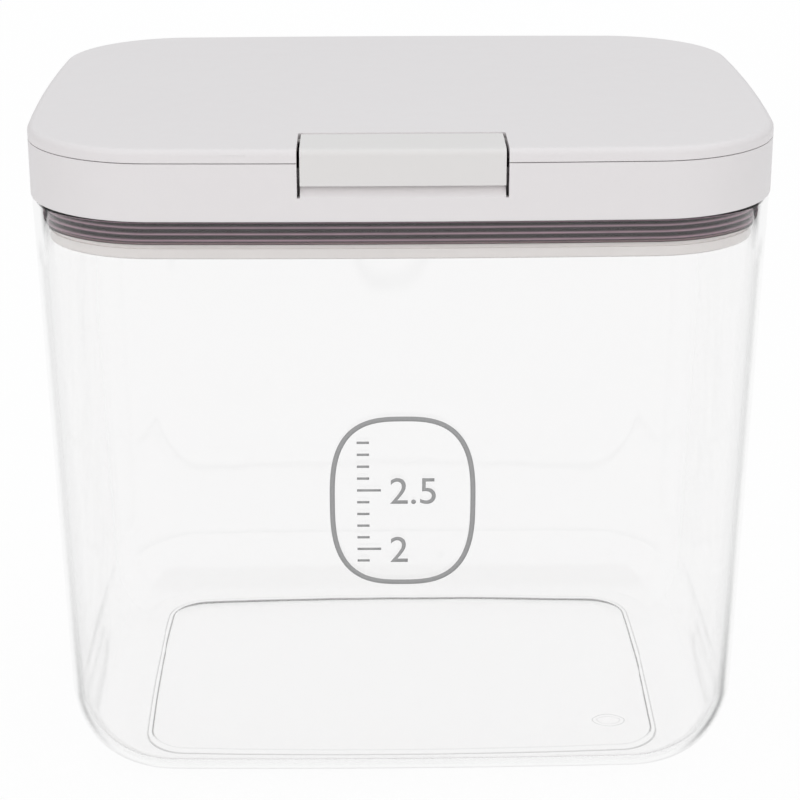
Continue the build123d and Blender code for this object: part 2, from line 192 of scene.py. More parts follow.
# Clear moulded plastic with painted shade in its colour: grey where a wall is seen on edge, and fine dark
# lines along the floor's step
# Angles run from 0 for a wall seen straight on to 1 for one seen on edge
# A pair of heights, places or angles is the stretch over which a shade comes or goes
clearFinish = {
    "body": 0.972,
    "warmth": 0.998,  # green and blue, for each part of red
    "roughness": 0.02,
    "ior": 1.49,
    "gloss": 0.16,
    "wave": (26.0, 2.0),
    "waveStrength": 0.25,
    "waveDepth": 0.0004,
    "fine": (900.0, 2.0),
    "fineGloss": 0.015,
    "wallRise": (0.0005, 0.003),
    # Broad band of painted shade near the edge of a wall
    "bandPaintedShade": 0.89,
    "bandAngle": 0.56,
    "bandSpread": 0.10,
    "bandRise": (0.006, 0.018),
    # Narrow line of painted shade at the left and right ends, darker on the right, stronger low down, gone
    # near the rim
    "grazeShade": 0.95,
    "grazeAngle": 0.702,
    "grazeSpread": 0.16,
    "grazeRight": (0.078, 0.090),
    "grazeLeft": (0.082, 0.094),
    "leftShare": 0.85,
    "highShare": 0.62,
    "lowRise": (0.005, 0.10),
    "rimRise": (0.154, 0.164),
    # Painted shade along the outline of the bottom round
    "outlineShade": 0.95,
    "outlineAngle": (0.74, 0.90),
    "outlineRise": (0.004, 0.012),
    # Lines of painted shade along the step: half width and shades on its sides, its front and its back
    "lineHalf": (0.00036, 0.00050, 0.00050),
    "headShade": (1.0, 0.36, 0.42),
    "footShade": (0.5, 0.88, 0.08),
    "frontPlace": (0.040, 0.050),
    "backPlace": (0.044, 0.054),
    # Rings of painted shade at the moulding mark
    "ringHalf": 0.0003,
    "markShade": 0.50,
    "grooveShade": 0.30,
    "markWithin": 0.002,
    # Light that goes straight through
    "straight": (0.986, 0.986, 0.986, 1.0),
    "straightAngle": (0.52, 0.70),
    "straightShare": 0.95,
    "straightGraze": 0.9,
    "straightOutline": 0.18,
    "slopeMargin": 0.00008,
}


def clearPlastic(name, look):
    material, place = startFinish(name)
    split = place.node("ShaderNodeSeparateXYZ", inputs={0: place})
    x, y, z = split.pick("X"), split.pick("Y"), split.pick("Z")
    facing = place.node("ShaderNodeLayerWeight", inputs={"Blend": 0.5}, output="Facing")
    path = place.node("ShaderNodeLightPath")
    cameraRay = path.pick("Is Camera Ray")
    seenWall = cameraRay * between(z, *look["wallRise"])

    # Painted shade where a wall is seen on edge
    paintedBand = near(facing, look["bandAngle"], look["bandSpread"]) * seenWall * between(z, *look["bandRise"])
    tint = look["body"] - paintedBand * (look["body"] - look["bandPaintedShade"])
    low = look["highShare"] + (1.0 - look["highShare"]) * fading(z, *look["lowRise"]) ** 2.0
    ends = between(x, *look["grazeRight"]) + between(-x, *look["grazeLeft"]) * look["leftShare"]
    paintedGraze = near(facing, look["grazeAngle"], look["grazeSpread"]) * seenWall
    paintedGraze = paintedGraze * (low * fading(z, *look["rimRise"])) * ends
    paintedOutline = between(facing, *look["outlineAngle"]) * fading(z, *look["outlineRise"])
    tint = tint * (1.0 - paintedGraze * look["grazeShade"]) * (1.0 - paintedOutline * look["outlineShade"])

    # Painted shade in lines at the head and the foot of the step, and in the rings of the moulding mark
    head = place.node("ShaderNodeAttribute", {"attribute_name": "fromHead"}, output="Fac")
    front, back = between(-y, *look["frontPlace"]), between(y, *look["backPlace"])

    def perSide(onSides, onFront, onBack):
        return onSides + front * (onFront - onSides) + back * (onBack - onSides)

    def line(way, at, half, strength):
        away = way - at
        return (1.0 - away.calc("ABSOLUTE", away) / half) * strength

    half = perSide(*look["lineHalf"])
    middle = ((x - tub["markX"]) ** 2.0 + (y - tub["markY"]) ** 2.0) ** 0.5
    onMark = head.calc("LESS_THAN", head, -look["markWithin"])
    shade = largest(
        line(head, 0.0, half, perSide(*look["headShade"])),
        line(head, tub["panelBevel"], half, perSide(*look["footShade"])),
        line(middle, tub["markRadius"], look["ringHalf"], onMark * look["markShade"]),
        line(middle, tub["markGroove"], look["ringHalf"], onMark * look["grooveShade"]),
        0.0,
    )
    tint = tint * (1.0 - shade)

    colour = {0: tint, 1: tint * look["warmth"], 2: tint * look["warmth"]}
    wave = noiseOf(place, *look["wave"])
    fine = noiseOf(place, *look["fine"])
    shader = place.node("ShaderNodeBsdfPrincipled", inputs={
        "Base Color": place.node("ShaderNodeCombineColor", inputs=colour),
        "Roughness": look["roughness"] + fine * look["fineGloss"],
        "IOR": look["ior"],
        "Transmission Weight": 1.0,
        "Normal": bumpOf(wave, look["waveStrength"], look["waveDepth"]),
        "Specular IOR Level": look["gloss"],
    })

    # Light goes straight through for shadows, on the step's slope and at a wall's outermost edge, and where
    # the eye looks out of the plastic again
    low, high = -look["slopeMargin"], tub["panelBevel"] + look["slopeMargin"]
    slope = head.calc("GREATER_THAN", head, low) * head.calc("LESS_THAN", head, high)
    rim = between(facing, *look["straightAngle"]) * look["straightShare"] * seenWall
    rim = rim * (1.0 - paintedGraze * look["straightGraze"]) * (1.0 - paintedOutline * look["straightOutline"])
    onward = cameraRay * place.node("ShaderNodeNewGeometry").pick("Backfacing")
    factor = largest(slope * (1.0 - shade), rim, onward, path.pick("Is Shadow Ray"))
    straight = place.node("ShaderNodeBsdfTransparent", inputs={"Color": look["straight"]})
    plastic = place.node("ShaderNodeMixShader", inputs={0: factor, 1: shader, 2: straight})
    return endFinish(material, plastic)


# Soft rubber with painted shade, near black, in its grooves and a painted highlight on its ridges, made
# uneven by a dust noise, and a foot in another colour
rubberFinish = {
    # Ridge colour: the rubber's own, made lighter as a painted highlight; the groove colour is painted shade
    "colour": (0.440, 0.285, 0.345, 1.0),
    "groove": (0.012, 0.006, 0.008, 1.0),
    "foot": (0.370, 0.240, 0.255, 1.0),
    "footEdge": (-0.0002, 0.0001),
    "fill": 4.6,
    "dustAndSheen": (160.0, 3.0),
    "highlightLeast": 0.75,
    "highlightShare": 0.4,
    "dustGloss": 0.12,
    "speck": (2400.0, 1.0),
    "speckStrength": 0.3,
    "speckDepth": 0.00004,
    "roughness": 0.58,
    "specular": 0.15,
}


def softRubber(name, look, low, pitch):
    material, place = startFinish(name)
    dustAndSheen = noiseOf(place, *look["dustAndSheen"])
    speck = noiseOf(place, *look["speck"])
    height = place.node("ShaderNodeAttribute", {"attribute_name": "restHeight"}, output="Fac")
    turn = (height - low) * (fullTurn / pitch) - fullTurn * gasket["crestAt"]
    crest = 0.5 + 0.5 * turn.calc("COSINE", turn)
    # Share of the ridge colour: painted highlight on the crests, painted shade in the grooves
    share = (crest ** look["fill"]) * (look["highlightLeast"] + look["highlightShare"] * dustAndSheen)
    colour = mixColour(share.calc("MINIMUM", share, 1.0), look["groove"], look["colour"])
    colour = mixColour(between(low - height, *look["footEdge"]), colour, look["foot"])
    shader = place.node("ShaderNodeBsdfPrincipled", inputs={
        "Base Color": colour,
        "Roughness": look["roughness"] + (dustAndSheen - 0.5) * look["dustGloss"],
        "Normal": bumpOf(speck, look["speckStrength"], look["speckDepth"]),
        "Specular IOR Level": look["specular"],
    })
    return endFinish(material, shader)


# Drawn wire and turned screws: fine level streaks, patchy colour
steelFinish = {
    "colour": (0.60, 0.59, 0.58, 1.0),
    "dull": (0.46, 0.45, 0.44, 1.0),
    "roughness": 0.30,
    "patch": (120.0, 2.0),
    "drawn": (900.0, 2.0),
    "drawnStretch": (1.0, 1.0, 9.0),
    "drawnStrength": 0.2,
    "drawnDepth": 0.00002,
    "drawnGloss": 0.16,
}


def brightSteel(name, look):
    material, place = startFinish(name)
    stretched = place.node("ShaderNodeMapping", inputs={0: place, "Scale": look["drawnStretch"]})
    drawn = noiseOf(stretched, *look["drawn"])
    patch = noiseOf(place, *look["patch"])
    shader = place.node("ShaderNodeBsdfPrincipled", inputs={
        "Base Color": mixColour(patch, look["colour"], look["dull"]),
        "Metallic": 1.0,
        "Roughness": look["roughness"] + (drawn - 0.5) * look["drawnGloss"],
        "Normal": bumpOf(drawn, look["drawnStrength"], look["drawnDepth"]),
    })
    return endFinish(material, shader)


# Screen-printed ink, a little uneven in cover
inkFinish = {
    "colour": (0.300, 0.298, 0.300, 1.0),
    "thin": (0.370, 0.367, 0.370, 1.0),
    "roughness": 0.5,
    "cover": (1500.0, 3.0),
    "coverStrength": 0.2,
    "coverDepth": 0.00001,
    "coverGloss": 0.2,
}


def printedInk(name, look):
    material, place = startFinish(name)
    cover = noiseOf(place, *look["cover"])
    shader = place.node("ShaderNodeBsdfPrincipled", inputs={
        "Base Color": mixColour(cover, look["colour"], look["thin"]),
        "Roughness": look["roughness"] + (cover - 0.5) * look["coverGloss"],
        "Normal": bumpOf(cover, look["coverStrength"], look["coverDepth"]),
    })
    return endFinish(material, shader)


# Plan outline of the lid
plan = {
    "width": 0.208, "depth": 0.157, "corner": 0.0363, "endBow": 0.820, "faceBow": 2.340,
    "cornerSteps": 40, "faceSteps": 44, "endSteps": 32,
}


# Four bowed sides joined by round corners: (centre, radius, direction out) at each step
def bowedSteps(shape):
    halfW, halfD = shape["width"] / 2, shape["depth"] / 2
    endX, faceY = halfW - shape["endBow"], halfD - shape["faceBow"]
    a, b = shape["faceBow"] - shape["corner"], shape["endBow"] - shape["corner"]
    span = math.hypot(endX, faceY)
    along = (a * a - b * b + span * span) / (2 * span)
    off = math.sqrt(a * a - along * along)
    ux, uy = endX / span, -faceY / span
    cx, cy = max(
        ((along * ux - s * off * uy, faceY + along * uy + s * off * ux) for s in (1, -1)),
        key=lambda p: min(p),
    )
    endTurn, faceTurn = math.atan2(cy, cx - endX), math.atan2(cy - faceY, cx)
    half = math.pi
    arcs = [
        ((endX, 0), shape["endBow"], -endTurn, endTurn, plan["endSteps"]),
        ((cx, cy), shape["corner"], endTurn, faceTurn, plan["cornerSteps"]),
        ((0, faceY), shape["faceBow"], faceTurn, half - faceTurn, plan["faceSteps"]),
        ((-cx, cy), shape["corner"], half - faceTurn, half - endTurn, plan["cornerSteps"]),
        ((-endX, 0), shape["endBow"], half - endTurn, half + endTurn, plan["endSteps"]),
        ((-cx, -cy), shape["corner"], half + endTurn, half + faceTurn, plan["cornerSteps"]),
        ((0, -faceY), shape["faceBow"], half + faceTurn, 2 * half - faceTurn, plan["faceSteps"]),
        ((cx, -cy), shape["corner"], 2 * half - faceTurn, 2 * half - endTurn, plan["cornerSteps"]),
    ]
    steps = []
    for centre, radius, start, end, count in arcs:
        for k in range(count):
            turn = start + (end - start) * k / count
            steps.append((centre, radius, (math.cos(turn), math.sin(turn))))
    return steps


outlineSteps = bowedSteps(plan)


# An outline moved inwards by an inset, at height z
def outlineRing(inset, z, steps=outlineSteps):
    return [(c[0] + (r - inset) * n[0], c[1] + (r - inset) * n[1], z) for c, r, n in steps]


# A path of (across, height) points with rounded inner corners, each as (across, height, radius, steps)
def roundedPath(points):
    path = [points[0][:2]]
    for before, here, after in zip(points, points[1:], points[2:]):
        p, a, b = Vector(here[:2]), Vector(before[:2]), Vector(after[:2])
        radius, count = here[2], here[3]
        toA, toB = (a - p).normalized(), (b - p).normalized()
        half = toA.angle(toB) / 2
        reach = radius / math.tan(half)
        middle = p + (toA + toB).normalized() * (radius / math.sin(half))
        first, last = p + toA * reach - middle, p + toB * reach - middle
        sweep = math.pi - 2 * half
        for k in range(count + 1):
            t = k / count
            spoke = (first * math.sin((1 - t) * sweep) + last * math.sin(t * sweep)) / math.sin(sweep)
            path.append(tuple(middle + spoke))
    path.append(points[-1][:2])
    return path


def addRing(mesh, ring):
    return [mesh.verts.new(point) for point in ring]


def joinRings(mesh, a, b):
    for k in range(len(a)):
        n = (k + 1) % len(a)
        mesh.faces.new((a[k], a[n], b[n], b[k]))


mergeDistance = 1e-7


# Merges doubles and turns the faces outwards, smooth but for edges sharper than the crease angle
def wholeMesh(mesh, data, creaseAngle=None):
    bmesh.ops.remove_doubles(mesh, verts=mesh.verts, dist=mergeDistance)
    bmesh.ops.recalc_face_normals(mesh, faces=mesh.faces)
    mesh.to_mesh(data)
    mesh.free()
    for face in data.polygons:
        face.use_smooth = True
    if creaseAngle:
        data.set_sharp_from_angle(angle=math.radians(creaseAngle))


def addPiece(name, data):
    piece = bpy.data.objects.new(name, data)
    scene.collection.objects.link(piece)
    return piece


# Clear tub

tub = {
    "height": 0.173, "wall": 0.0024, "floor": 0.00285, "topInset": 0.00029, "draft": 1.5,
    "heelAcross": 0.0170, "heelUp": 0.0224, "heelSteps": 24,
    "rim": 0.0006, "rimSteps": 6, "ringSpacing": 0.02,
    "panelRise": 0.0014, "panelFlat": 0.006, "panelBevel": 0.0016, "panelSoftness": 0.0003, "panelSteps": 4,
    "footFlat": 0.0004, "footRoom": 0.0038,
    "markX": 0.0634, "markY": -0.0359, "markRadius": 0.0049, "markDepth": 0.00004, "markSlope": 0.0006,
    "markGroove": 0.0035, "grooveHalf": 0.0003, "grooveDepth": 0.00002, "markInside": 0.001, "markSteps": 72,
}
# Raised middle of the floor's underside
panel = {
    "width": 0.15372, "depth": 0.10870, "corner": 0.012, "endBow": 1.0, "faceBow": 1.0,
    "faceStretch": 11.5,
}


# Inset of the leaning wall at height z, a number or a wire
def tubInset(z):
    return tub["topInset"] + (tub["height"] - z) * math.tan(math.radians(tub["draft"]))


# Quarter of an ellipse between the floor and the leaning wall, from the floor up
def heelPath(wall, low, across, up):
    count = tub["heelSteps"]
    turns = [0.5 * math.pi * k / count for k in range(count + 1)]
    spots = [(across * (1 - math.sin(t)), low + up * (1 - math.cos(t))) for t in turns]
    return [(tubInset(z) + wall + away, z) for away, z in spots]


# Section of the wall as (inset, height), from the outside heel over the rim to the inside heel
def wallSection(outside):
    top, wall, floor = tub["height"], tub["wall"], tub["floor"]
    inside = heelPath(wall, floor, tub["heelAcross"] - wall, tub["heelUp"] - wall)
    rim = roundedPath([
        outside[-1],
        (tubInset(top), top, tub["rim"], tub["rimSteps"]),
        (tubInset(top) + wall, top, tub["rim"], tub["rimSteps"]),
        inside[-1],
    ])[1:-1]
    corners = outside + rim + inside[::-1]
    # Long walls get more rings, so that their faces aren't slivers
    section = [corners[0]]
    for a, b in zip(corners, corners[1:]):
        parts = max(1, round(math.dist(a, b) / tub["ringSpacing"]))
        for k in range(1, parts + 1):
            section.append((a[0] + (b[0] - a[0]) * k / parts, a[1] + (b[1] - a[1]) * k / parts))
    return section


# Rings of the step under the floor, whose slope is wider on the long sides and whose foot lies on the heel
def stepRings(step, outside):
    wallLine = outlineRing(0.0, 0.0)
    panelSteps = bowedSteps(panel)

    def heelRise(x, y):
        inset = min(math.hypot(x - a, y - b) for a, b, c in wallLine)
        for (wide, low), (narrow, high) in zip(outside, outside[1:]):
            if narrow <= inset <= wide:
                return low + (high - low) * (wide - inset) / (wide - narrow)
        return 0.0

    rings = []
    for reach, z in step:
        ring = []
        for x, y, level in outlineRing(-reach, z, panelSteps):
            y *= 1.0 + max(reach, 0.0) * panel["faceStretch"]
            ring.append((x, y, level + heelRise(x, y) * (1.0 - level / tub["panelRise"])))
        rings.append(ring)
    return rings


# Circles of the round moulding mark, a low disc with a groove, as (radius, height) from the outermost in
def markCircles():
    under = tub["panelRise"]
    low = under - tub["markDepth"]
    r, edge = tub["markRadius"], tub["markSlope"]
    g, half = tub["markGroove"], tub["grooveHalf"]
    return [
        (r + edge, under), (r, (under + low) / 2), (r - edge, low),
        (g + half, low), (g, low + tub["grooveDepth"]), (g - half, low), (g - tub["markInside"], low),
    ]


def makeTub():
    mesh = bmesh.new()
    # Each corner keeps its distance from the head of the step, for the lines along it
    fromHead = mesh.verts.layers.float.new("fromHead")
    farAway = 1.0  # out of reach of the lines

    def addRings(rings, distances):
        made = [addRing(mesh, ring) for ring in rings]
        for ring, distance in zip(made, distances):
            for corner in ring:
                corner[fromHead] = distance
        for a, b in zip(made, made[1:]):
            joinRings(mesh, a, b)
        mesh.faces.new(made[-1])
        return made[0]

    step = roundedPath([
        (-tub["panelFlat"], tub["panelRise"]),
        (0.0, tub["panelRise"], tub["panelSoftness"], tub["panelSteps"]),
        (tub["panelBevel"], 0.0, tub["panelSoftness"], tub["panelSteps"]),
        (tub["panelBevel"] + tub["footFlat"], 0.0),
    ])
    outside = heelPath(0.0, 0.0, tub["heelAcross"], tub["heelUp"])
    # The heel's first rings are left out, to leave room for the step's foot
    wall = wallSection(outside)
    first = next(k for k, (inset, z) in enumerate(wall) if inset < outside[0][0] - tub["footRoom"])
    rings = stepRings(step, outside) + [outlineRing(inset, z) for inset, z in wall[first:]]
    distances = [reach for reach, z in step] + [farAway] * (len(rings) - len(step))
    panelEdge = addRings(rings, distances)

    count = tub["markSteps"]
    rounds = [(math.cos(fullTurn * k / count), math.sin(fullTurn * k / count)) for k in range(count)]
    circles = [
        [(tub["markX"] + radius * c, tub["markY"] + radius * s, z) for c, s in rounds]
        for radius, z in markCircles()
    ]
    markEdge = addRings(circles, [-tub["panelFlat"]] * len(circles))

    border = panelEdge + markEdge
    for corners in tessellate_polygon([[v.co for v in panelEdge], [v.co for v in markEdge]]):
        mesh.faces.new([border[k] for k in corners])
    data = bpy.data.meshes.new("clearTub")
    wholeMesh(mesh, data)
    return addPiece("clearTub", data)


tubPiece = makeTub()
tubPiece.data.materials.append(clearPlastic("clearMouldedPlastic", clearFinish))
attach(tubPiece, "container")
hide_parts("container_tub")
print("tub:", len(tubPiece.data.polygons), "faces")


# Geometry Nodes

# Starts a tree whose inputs are named sizes
def startTree(name, sizes):
    tree = bpy.data.node_groups.new(name, "GeometryNodeTree")
    tree.interface.new_socket(name="Geometry", in_out="INPUT", socket_type="NodeSocketGeometry")
    for key, value in sizes.items():
        kind = "NodeSocketInt" if isinstance(value, int) else "NodeSocketFloat"
        tree.interface.new_socket(name=key, in_out="INPUT", socket_type=kind)
    tree.interface.new_socket(name="Geometry", in_out="OUTPUT", socket_type="NodeSocketGeometry")
    return Wire(tree).node("NodeGroupInput", output="Geometry")


def endTree(shape, material):
    shape = shape.node("GeometryNodeRealizeInstances", inputs={0: shape})
    shape = shape.node("GeometryNodeSetMaterial", inputs={0: shape, "Material": material})
    shape.node("NodeGroupOutput", inputs={0: shape})


# Runs a tree on a base mesh and gives back a plain piece, whole and with its faces outwards
def grow(name, base, start, sizes, creaseAngle=None):
    holder = addPiece(name + "Base", base)
    modifier = holder.modifiers.new("build", "NODES")
    modifier.node_group = start.tree
    for item in start.tree.interface.items_tree:
        if item.item_type == "SOCKET" and item.in_out == "INPUT" and item.name in sizes:
            modifier[item.identifier] = sizes[item.name]
    graph = bpy.context.evaluated_depsgraph_get()
    data = bpy.data.meshes.new_from_object(holder.evaluated_get(graph), depsgraph=graph)
    holder.modifiers.remove(modifier)
    bpy.data.objects.remove(holder)
    data.name = name
    mesh = bmesh.new()
    mesh.from_mesh(data)
    wholeMesh(mesh, data, creaseAngle)
    return addPiece(name, data)


def loopMesh(name, points):
    data = bpy.data.meshes.new(name)
    count = len(points)
    data.from_pydata(points, [(k, (k + 1) % count) for k in range(count)], [])
    return data


def pointMesh(name, points):
    data = bpy.data.meshes.new(name)
    data.from_pydata(points, [], [])
    return data


# Gasket: a ridged section carried round the outline

gasket = {
    "low": 0.1663, "height": 0.0057, "width": 0.0054, "inset": 0.003091, "foot": 0.0005,
    "ridges": 3, "ridgeDepth": 0.0009, "ridgePower": 0.55, "crestAt": 0.40,
    "cuts": 48, "outerShare": 0.499, "creaseAngle": 50,
}


def gasketTree(material):
    shape = startTree("ridgedRing", {
        "Height": 0.0, "Width": 0.0, "Foot": 0.0, "Ridge depth": 0.0, "Ridges": 1,
    })
    height, width, foot = shape.pick("Height"), shape.pick("Width"), shape.pick("Foot")
    depth, ridges = shape.pick("Ridge depth"), shape.pick("Ridges")
    section = shape.node("GeometryNodeCurvePrimitiveQuadrilateral", inputs={"Width": width, "Height": height})
    section = section.node("GeometryNodeSubdivideCurve", inputs={0: section, "Cuts": gasket["cuts"]})
    place = section.node("GeometryNodeInputPosition")
    split = place.node("ShaderNodeSeparateXYZ", inputs={0: place})
    across, up = split.pick("X"), split.pick("Y")
    share = (up + height * 0.5 - foot) / (height - foot) * ridges
    turn = (share - gasket["crestAt"]) * fullTurn
    crest = 0.5 + 0.5 * turn.calc("COSINE", turn)
    back = depth * (1.0 - crest ** gasket["ridgePower"])
    outer = across.calc("GREATER_THAN", across, width * gasket["outerShare"])
    shift = place.node("ShaderNodeCombineXYZ", inputs={0: -(back * outer)})
    section = section.node("GeometryNodeSetPosition", inputs={0: section, "Offset": shift})
    path = shape.node("GeometryNodeMeshToCurve", inputs={0: shape})
    path = path.node("GeometryNodeSetCurveNormal", {"mode": "Z_UP"}, {0: path})
    ring = path.node("GeometryNodeCurveToMesh", inputs={0: path, 1: section})
    endTree(ring, material)
    return shape


ridgePitch = (gasket["height"] - gasket["foot"]) / gasket["ridges"]
rubber = softRubber("ridgedRubber", rubberFinish, gasket["low"] + gasket["foot"], ridgePitch)
middleRing = outlineRing(gasket["inset"] + gasket["width"] / 2, gasket["low"] + gasket["height"] / 2)
gasketPiece = grow("ribbedGasket", loopMesh("gasketPath", middleRing), gasketTree(rubber), {
    "Height": gasket["height"], "Width": gasket["width"], "Foot": gasket["foot"],
    "Ridge depth": gasket["ridgeDepth"], "Ridges": gasket["ridges"],
}, gasket["creaseAngle"])
# The rubber's pattern keeps to the height at rest when the gasket is drawn down
restHeight = gasketPiece.data.attributes.new("restHeight", "FLOAT", "POINT")
restHeight.data.foreach_set("value", [corner.co.z for corner in gasketPiece.data.vertices])
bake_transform(gasketPiece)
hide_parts("seal_gasket")
print("gasket:", len(gasketPiece.data.polygons), "faces")


# Return springs: wire wound on a spiral whose end turns lie close

springs = {
    "low": 0.16405, "high": 0.17305, "radius": 0.00688, "wire": 0.0005, "turns": 5.0, "closed": 1.0,
    "x": 0.062, "y": 0.038, "turnSteps": 40, "wireSteps": 12, "creaseAngle": 50,
}


def springTree(material):
    shape = startTree("woundSprings", {
        "Length": 0.0, "Radius": 0.0, "Wire radius": 0.0, "Turns": 0.0, "Closed turns": 0.0,
    })
    length, radius, wire = shape.pick("Length"), shape.pick("Radius"), shape.pick("Wire radius")
    turns, closed = shape.pick("Turns"), shape.pick("Closed turns")
    path = shape.node("GeometryNodeCurveSpiral", inputs={
        "Resolution": springs["turnSteps"], "Rotations": turns,
        "Start Radius": radius, "End Radius": radius, "Height": 1.0,
    })
    split = path.node("ShaderNodeSeparateXYZ", inputs={0: path.node("GeometryNodeInputPosition")})
    along, share = split.pick("Z"), closed / turns

    # Part of the rise that falls between two places along the wire
    def rise(start, end, amount):
        return path.node("ShaderNodeMapRange", inputs={0: along, 1: start, 2: end, 3: 0.0, 4: amount})

    close = wire * 2.0 * closed
    height = rise(0.0, share, close)
    height = height + rise(share, 1.0 - share, length - wire * 2.0 - close * 2.0)
    height = height + rise(1.0 - share, 1.0, close)
    spot = path.node("ShaderNodeCombineXYZ", inputs={
        0: split.pick("X"), 1: split.pick("Y"), 2: height + wire,
    })
    path = path.node("GeometryNodeSetPosition", inputs={0: path, "Position": spot})
    path = path.node("GeometryNodeSetCurveNormal", {"mode": "Z_UP"}, {0: path})
    wireRing = path.node("GeometryNodeCurvePrimitiveCircle", inputs={
        "Resolution": springs["wireSteps"], "Radius": wire,
    })
    coil = path.node("GeometryNodeCurveToMesh", inputs={0: path, 1: wireRing, "Fill Caps": True})
    endTree(shape.node("GeometryNodeInstanceOnPoints", inputs={0: shape, "Instance": coil}), material)
    return shape


steel = brightSteel("brightSteel", steelFinish)
springFeet = [(sx * springs["x"], sy * springs["y"], springs["low"]) for sx in (-1, 1) for sy in (-1, 1)]
springPiece = grow("woundSprings", pointMesh("springFeet", springFeet), springTree(steel), {
    "Length": springs["high"] - springs["low"], "Radius": springs["radius"], "Wire radius": springs["wire"],
    "Turns": springs["turns"], "Closed turns": springs["closed"],
}, springs["creaseAngle"])
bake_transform(springPiece)
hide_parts(*[n for n in nodes if n.startswith("return_spring_")])
print("springs:", len(springPiece.data.polygons), "faces")


# Level scale printed on the front wall, inside a ring; the heights are those of the litres in this tub

levelScale = {
    "middleX": -0.0002, "middleZ": 0.09242, "halfX": 0.02015, "halfZ": 0.02533, "power": 2.9, "line": 0.0014,
    "ringSteps": 240, "film": 0.00003, "lift": 0.00001,
    "firstTenth": 19, "lastTenth": 29, "numberEvery": 5, "twoLitres": 20, "twoLitresHeight": 0.07805,
    "tenth": 0.00356, "tickX": -0.0128, "tickShort": 0.0034, "tickLong": 0.0066, "tickLine": 0.0007,
    "numberX": -0.0040, "numberSize": 0.0112, "numberDrop": 0.0041,
}


def joinShapes(*shapes):
    made = shapes[0].node("GeometryNodeJoinGeometry", inputs={0: shapes[-1]})
    for shape in shapes[:-1]:
        shape.tree.links.new(shape.socket, made.socket.node.inputs[0])
    return made


# A number drawn flat, with the film's thickness, at a place
def flatNumber(shape, text, size, film, place):
    drawn = shape.node("GeometryNodeStringToCurves", {"align_x": "LEFT"}, {"String": text, "Size": size})
    drawn = drawn.node("GeometryNodeRealizeInstances", inputs={0: drawn})
    face = drawn.node("GeometryNodeFillCurve", {"mode": "TRIANGLES"}, {0: drawn})
    top = face.node("GeometryNodeExtrudeMesh", inputs={0: face, "Offset Scale": film, "Individual": False})
    under = face.node("GeometryNodeFlipFaces", inputs={0: face})
    return shape.node("GeometryNodeTransform", inputs={0: joinShapes(top, under), "Translation": place})


def scaleTree(material, numbers):
    look = levelScale
    shape = startTree("printedScale", {
        "Half width": 0.0, "Half height": 0.0, "Power": 0.0, "Line": 0.0, "Film": 0.0, "Tick line": 0.0,
        "Number size": 0.0,
    })
    halfX, halfZ, power = shape.pick("Half width"), shape.pick("Half height"), shape.pick("Power")
    line, film = shape.pick("Line"), shape.pick("Film")
    # Ring: a circle squared up by its power
    loop = shape.node("GeometryNodeCurvePrimitiveCircle", inputs={
        "Resolution": look["ringSteps"], "Radius": 1.0,
    })
    split = loop.node("ShaderNodeSeparateXYZ", inputs={0: loop.node("GeometryNodeInputPosition")})
    c, s = split.pick("X"), split.pick("Y")
    grown = (c.calc("ABSOLUTE", c) ** power + s.calc("ABSOLUTE", s) ** power) ** (-1.0 / power)
    spot = loop.node("ShaderNodeCombineXYZ", inputs={
        0: c * grown * (halfX - line * 0.5) + look["middleX"],
        1: s * grown * (halfZ - line * 0.5) + look["middleZ"],
        2: film * 0.5,
    })
    loop = loop.node("GeometryNodeSetPosition", inputs={0: loop, "Position": spot})
    loop = loop.node("GeometryNodeSetCurveNormal", {"mode": "Z_UP"}, {0: loop})
    strip = loop.node("GeometryNodeCurvePrimitiveQuadrilateral", inputs={"Width": line, "Height": film})
    ring = loop.node("GeometryNodeCurveToMesh", inputs={0: loop, 1: strip})
    # Ticks: bars that start at the base mesh's points and are as long as its attribute says
    bar = shape.node("GeometryNodeMeshCube")
    bar = bar.node("GeometryNodeTransform", inputs={0: bar, "Translation": (0.5, 0.0, 0.5)})
    reach = shape.node("GeometryNodeInputNamedAttribute", {"data_type": "FLOAT"}, {"Name": "reach"})
    size = shape.node("ShaderNodeCombineXYZ", inputs={0: reach, 1: shape.pick("Tick line"), 2: film})
    ticks = shape.node("GeometryNodeInstanceOnPoints", inputs={0: shape, "Instance": bar, "Scale": size})
    parts = [ring, ticks]
    for text, place in numbers:
        parts.append(flatNumber(shape, text, shape.pick("Number size"), film, place))
    flat = joinShapes(*parts)
    flat = flat.node("GeometryNodeRealizeInstances", inputs={0: flat})
    # The flat print laid on the bowed and leaning front wall
    split = flat.node("ShaderNodeSeparateXYZ", inputs={0: flat.node("GeometryNodeInputPosition")})
    u, v, w = split.pick("X"), split.pick("Y"), split.pick("Z")
    inset = tubInset(v)
    sag = u * u / ((plan["faceBow"] - inset) * 2.0)
    away = inset + sag - w - (plan["depth"] / 2 + look["lift"])
    wall = flat.node("ShaderNodeCombineXYZ", inputs={0: u, 1: away, 2: v})
    flat = flat.node("GeometryNodeSetPosition", inputs={0: flat, "Position": wall})
    endTree(flat, material)
    return shape


tenths = range(levelScale["firstTenth"], levelScale["lastTenth"] + 1)


def tenthHeight(tenth):
    return levelScale["twoLitresHeight"] + (tenth - levelScale["twoLitres"]) * levelScale["tenth"]


def hasNumber(tenth):
    return tenth % levelScale["numberEvery"] == 0


def tickMesh():
    mesh = pointMesh("tickPlaces", [(levelScale["tickX"], tenthHeight(t), 0.0) for t in tenths])
    reach = mesh.attributes.new("reach", "FLOAT", "POINT")
    lengths = [levelScale["tickLong"] if hasNumber(t) else levelScale["tickShort"] for t in tenths]
    reach.data.foreach_set("value", lengths)
    return mesh


